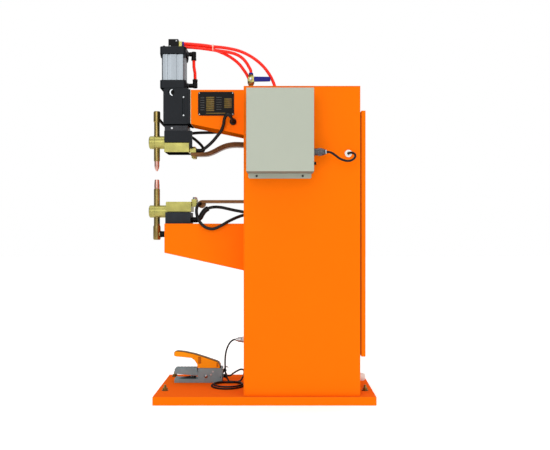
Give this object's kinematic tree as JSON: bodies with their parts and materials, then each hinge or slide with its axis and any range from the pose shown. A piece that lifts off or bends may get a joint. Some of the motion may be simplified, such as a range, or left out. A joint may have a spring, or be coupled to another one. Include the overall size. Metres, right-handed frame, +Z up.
{
  "type": "spot welder",
  "caption": "Column spot welder with a pneumatic ram, water-cooled electrodes on two arms, a side control box and a foot switch on its floor plate.",
  "frame": {"origin": "centre of the floor plate's underside, on the floor", "axes": "+Z up, -X towards the operator (the electrodes' side), -Y towards the control box"},
  "size_m": [0.846, 0.485, 1.357],
  "materials": {
    "orange_paint": "glossy powder coat",
    "charcoal_paint": "satin",
    "grey_paint": "fine texture",
    "amber_paint": "semi-gloss",
    "cast_grey": "cast",
    "aluminium": "anodised profile",
    "steel": "machined",
    "brass": "machined",
    "copper": "bare copper",
    "rubber": "smooth",
    "red_hose": "polyurethane tube",
    "blue_plastic": "dipped vinyl",
    "black_plastic": "moulded",
    "white_plastic": "moulded",
    "dark_insulation": "laminate"
  },
  "bodies": {
    "root": {"air_hose_front": "red_hose", "air_hose_rear": "red_hose", "air_hose_valve": "red_hose", "arm_grommet": "rubber", "arm_mount_plate": "charcoal_paint", "ball_valve_body": "brass", "base_plate": "orange_paint", "cabinet_front_top": "orange_paint", "cabinet_rear_frame": "orange_paint", "cabinet_side_far": "orange_paint", "cabinet_side_near": "orange_paint", "control_box_back_plate": "grey_paint", "control_box_cover": "grey_paint", "cylinder_barrel": "aluminium", "cylinder_bottom_cap": "charcoal_paint", "cylinder_top_cap": "charcoal_paint", "foot_cable_coil": "rubber", "foot_cable_connector": "steel", "foot_cable_drop": "rubber", "foot_cable_tail": "rubber", "foot_switch_base": "cast_grey", "foot_switch_hood": "amber_paint", "link_hose": "red_hose", "lower_arm": "orange_paint", "lower_busbar": "copper", "lower_clamp_block": "brass", "lower_elbow": "black_plastic", "lower_electrode_holder": "brass", "lower_electrode_tip": "copper", "lower_holder_bar": "brass", "lower_holder_cap": "brass", "lower_insulator_block": "dark_insulation", "mains_gland": "white_plastic", "side_grommet": "white_plastic", "signal_cable": "rubber", "signal_connector": "steel", "slide_housing": "charcoal_paint", "solenoid_valve": "aluminium", "thyristor_module": "aluminium", "top_manifold": "charcoal_paint", "upper_arm": "orange_paint", "upper_elbow": "black_plastic", "upper_shunt": "copper", "water_hose_feed": "rubber", "water_hose_lower_feed": "rubber", "water_hose_lower_return": "rubber", "water_hose_return": "rubber", "welding_transformer": "copper"},
    "ram": {"ram_shaft": "steel", "ram_block": "charcoal_paint", "upper_clamp_block": "brass", "upper_holder_bar": "brass", "upper_holder_cap": "brass", "upper_electrode_holder": "brass", "upper_electrode_tip": "copper", "water_hose_link": "rubber"},
    "treadle": {"foot_switch_treadle": "cast_grey"},
    "valve_lever": {"ball_valve_lever": "blue_plastic"},
    "door": {"rear_door": "orange_paint"},
    "lock": {"door_lock": "steel"}
  },
  "joints": [
    {"name": "ram_slide", "type": "slide", "parent": "root", "child": "ram", "axis": [0, 0, -1], "range_m": [0, 0.032], "stiffness_N_per_m": 3000, "springref_m": -0.06, "deforming": ["upper_shunt", "water_hose_feed", "water_hose_return"]},
    {"name": "treadle_hinge", "type": "hinge", "parent": "root", "child": "treadle", "pos_m": [-0.233, 0.067, 0.055], "axis": [0, -1, 0], "range_deg": [0, 7], "stiffness_Nm_per_rad": 8, "springref_deg": -8.59},
    {"name": "valve_lever_turn", "type": "hinge", "parent": "root", "child": "valve_lever", "pos_m": [-0.056, -0.021, 1.203], "axis": [0, -1, 0], "range_deg": [0, 90]},
    {"name": "rear_door_hinge", "type": "hinge", "parent": "root", "child": "door", "pos_m": [0.3465, 0.178, 0.6135], "axis": [0, 0, 1], "range_deg": [0, 110]},
    {"name": "door_lock_turn", "type": "hinge", "parent": "door", "child": "lock", "pos_m": [0.355, -0.145, 0.61], "axis": [1, 0, 0], "range_deg": [0, 90]}
  ]
}
